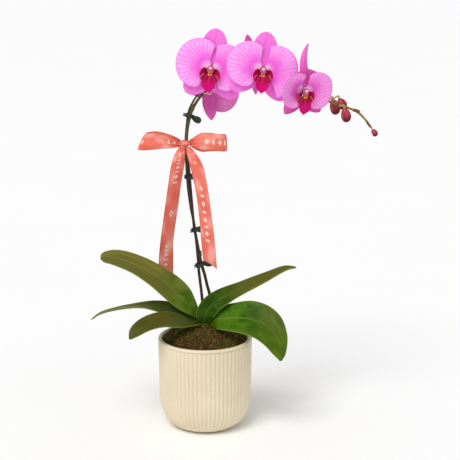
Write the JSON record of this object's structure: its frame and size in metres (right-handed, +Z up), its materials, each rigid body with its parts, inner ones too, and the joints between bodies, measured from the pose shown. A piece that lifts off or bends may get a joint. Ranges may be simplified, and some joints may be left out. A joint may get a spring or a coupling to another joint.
{
  "type": "potted moth orchid",
  "caption": "Moth orchid in a ribbed ceramic pot, its arching flower spike clipped to a bent stake and tied with a ribbon bow.",
  "frame": {"origin": "centre of the pot's foot, on the surface that the pot stands on", "axes": "+Z up, -Y towards the display side that the flowers face, +X to the right of that side, where the spike arches"},
  "size_m": [0.4189, 0.1404, 0.5921],
  "materials": {
    "cream_glaze": "satin cream glaze",
    "bark_mix": "loose bark pieces",
    "moss": "dry brown and olive moss",
    "leaf": "waxy, half gloss",
    "stem": "smooth olive green",
    "stake": "dark maroon",
    "clip": "dark green",
    "ribbon": "coral satin",
    "petal": "velvety magenta pink with pale veins",
    "lip": "deep magenta with a yellow centre",
    "column": "pale pink",
    "bud": "dusky rose"
  },
  "bodies": {
    "root": {"pot": "cream_glaze", "potting_mix": "bark_mix", "moss": "moss", "crown": "stem", "leaf_upper_left": "leaf", "leaf_middle_left": "leaf", "leaf_lower_left": "leaf", "leaf_upper_right": "leaf", "leaf_lower_right": "leaf", "flower_spike": "stem", "support_stake": "stake", "clip_top": "clip", "clip_upper": "clip", "clip_lower": "clip", "clip_bottom": "clip", "ribbon_knot": "ribbon", "ribbon_loop_left": "ribbon", "ribbon_loop_right": "ribbon", "ribbon_tail_left": "ribbon", "ribbon_tail_right": "ribbon", "flower_a_dorsal_sepal": "petal", "flower_a_left_lateral_sepal": "petal", "flower_a_right_lateral_sepal": "petal", "flower_a_left_petal": "petal", "flower_a_right_petal": "petal", "flower_a_lip": "lip", "flower_a_column": "column", "flower_b_dorsal_sepal": "petal", "flower_b_left_lateral_sepal": "petal", "flower_b_right_lateral_sepal": "petal", "flower_b_left_petal": "petal", "flower_b_right_petal": "petal", "flower_b_lip": "lip", "flower_b_column": "column", "flower_c_dorsal_sepal": "petal", "flower_c_left_lateral_sepal": "petal", "flower_c_right_lateral_sepal": "petal", "flower_c_left_petal": "petal", "flower_c_right_petal": "petal", "flower_c_lip": "lip", "flower_c_column": "column", "flower_d_dorsal_sepal": "petal", "flower_d_left_lateral_sepal": "petal", "flower_d_right_lateral_sepal": "petal", "flower_d_left_petal": "petal", "flower_d_right_petal": "petal", "flower_d_lip": "lip", "flower_d_column": "column", "flower_e_dorsal_sepal": "petal", "flower_e_left_lateral_sepal": "petal", "flower_e_right_lateral_sepal": "petal", "flower_e_left_petal": "petal", "flower_e_right_petal": "petal", "flower_e_lip": "lip", "flower_e_column": "column", "bud_back_left": "bud", "bud_back_right": "bud", "bud_front": "bud", "bud_tip": "bud"}
  },
  "joints": []
}
